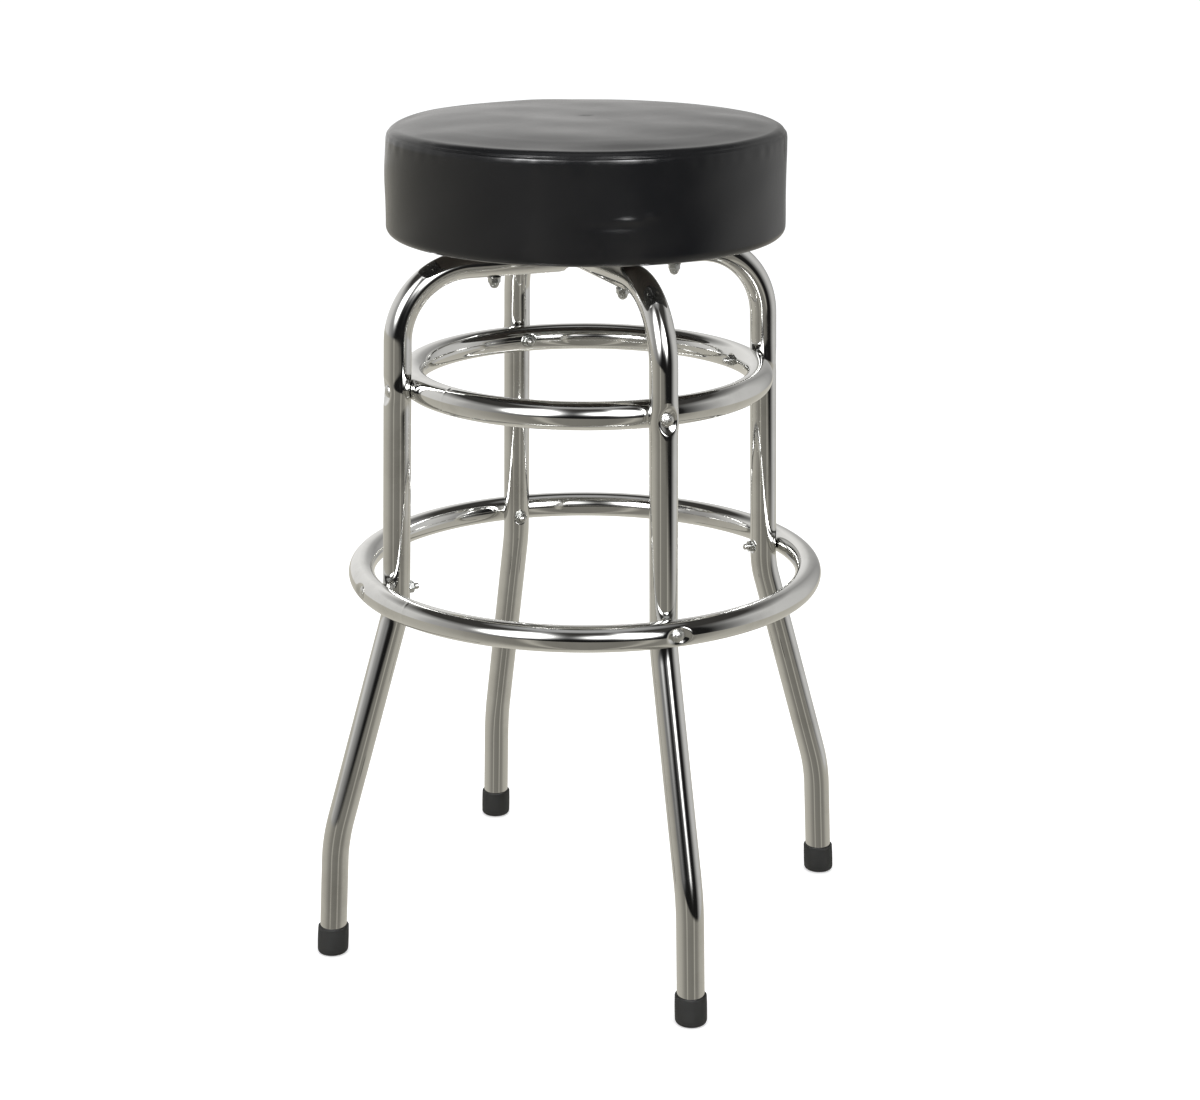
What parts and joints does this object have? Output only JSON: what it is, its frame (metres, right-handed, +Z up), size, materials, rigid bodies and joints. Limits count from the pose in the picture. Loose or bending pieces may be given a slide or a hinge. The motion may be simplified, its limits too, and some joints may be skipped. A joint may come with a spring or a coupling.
{
  "type": "bar stool",
  "caption": "Backless swivel bar stool: round padded vinyl seat on a ball-bearing plate, crossed chrome tube legs, inner tie ring and round footrest ring, rubber feet.",
  "frame": {"origin": "on the floor, under the middle of the seat", "axes": "+Z up along the swivel axis; +X towards the right leg, -Y towards the front leg"},
  "size_m": [0.541, 0.541, 0.772],
  "materials": {
    "chrome_tube": "bright chrome plated steel tube",
    "fasteners": "zinc plated steel fasteners",
    "dome_heads": "bright plated domed bolt heads",
    "swivel_plate": "pressed zinc plated sheet steel",
    "bearing_steel": "polished steel balls",
    "eyelet_brass": "passivated steel eyelet",
    "black_rubber": "matt moulded rubber",
    "plywood": "raw plywood",
    "seat_padding": "polyurethane foam",
    "black_vinyl": "black upholstery vinyl, soft sheen, fine grain"
  },
  "bodies": {
    "frame": {"u_frame_side": "chrome_tube", "u_frame_front": "chrome_tube", "inner_ring": "chrome_tube", "footrest_ring": "chrome_tube", "inner_ring_bolts": "dome_heads", "inner_ring_nuts": "fasteners", "footrest_bolts": "dome_heads", "footrest_nuts": "fasteners", "swivel_bolts": "fasteners", "swivel_washers": "fasteners", "swivel_dome_nuts": "fasteners", "swivel_lower_plate": "swivel_plate", "foot_left": "black_rubber", "foot_right": "black_rubber", "foot_front": "black_rubber", "foot_back": "black_rubber", "foot_discs": "fasteners"},
    "ball_race": {"swivel_balls": "bearing_steel"},
    "seat": {"swivel_upper_plate": "swivel_plate", "swivel_eyelet": "eyelet_brass", "seat_screws": "fasteners", "tee_nuts": "fasteners", "seat_board": "plywood", "seat_foam": "seat_padding", "cover_top": "black_vinyl", "cover_band": "black_vinyl", "cover_staples": "fasteners"}
  },
  "joints": [
    {"name": "seat_swivel", "type": "hinge", "parent": "frame", "child": "seat", "pos_m": [0, 0, 0.664], "axis": [0, 0, 1], "continuous": true},
    {"name": "ball_race_spin", "type": "hinge", "parent": "frame", "child": "ball_race", "pos_m": [0, 0, 0.664], "axis": [0, 0, 1], "continuous": true}
  ],
  "couplings": [
    {"joint": "ball_race_spin", "follows": "seat_swivel", "ratio": 0.5}
  ]
}
